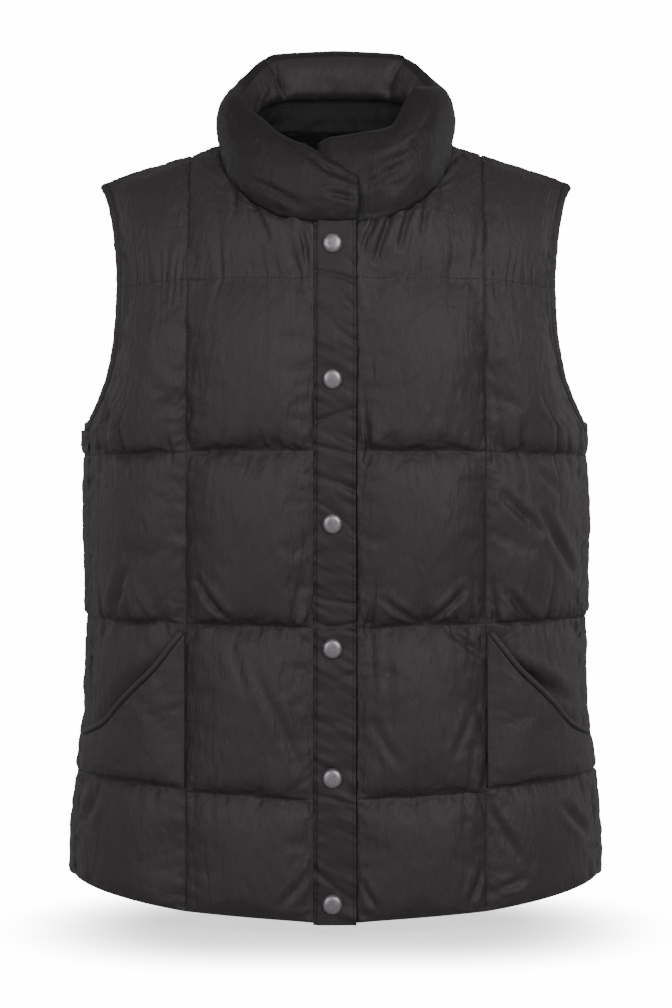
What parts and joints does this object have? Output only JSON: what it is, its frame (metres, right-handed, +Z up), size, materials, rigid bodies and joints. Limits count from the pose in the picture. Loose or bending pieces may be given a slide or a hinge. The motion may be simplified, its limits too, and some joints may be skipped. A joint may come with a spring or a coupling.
{
  "type": "sleeveless quilted puffer vest",
  "caption": "Sleeveless quilted puffer vest, filled out as worn, with a padded stand collar, a snapped front placket, bound armholes and slanted side pockets.",
  "frame": {"origin": "centre line of the vest, midway between the front and back of the worn form, at the height of the outer high shoulder points beside the neck", "axes": "+Z up along the wearer's body, front towards -Y, +X towards the viewer's right, which is the wearer's left"},
  "size_m": [0.4284, 0.2417, 0.6885],
  "materials": {
    "quilted_shell": "soft matte-satin woven nylon over padding, warm charcoal",
    "trim_cloth": "the same woven nylon in folded, stitched strips, a little duller",
    "snap_metal": "dark pewter snap caps with a satin lacquer"
  },
  "bodies": {
    "root": {"front_right": "quilted_shell", "front_left": "quilted_shell", "back": "quilted_shell", "collar": "quilted_shell", "pocket_right": "quilted_shell", "pocket_left": "quilted_shell", "placket": "trim_cloth", "under_placket": "trim_cloth", "pocket_welt_right": "trim_cloth", "pocket_welt_left": "trim_cloth", "armhole_binding_right": "trim_cloth", "armhole_binding_left": "trim_cloth", "snap_1": "snap_metal", "snap_2": "snap_metal", "snap_3": "snap_metal", "snap_4": "snap_metal", "snap_5": "snap_metal", "snap_6": "snap_metal"}
  },
  "joints": []
}
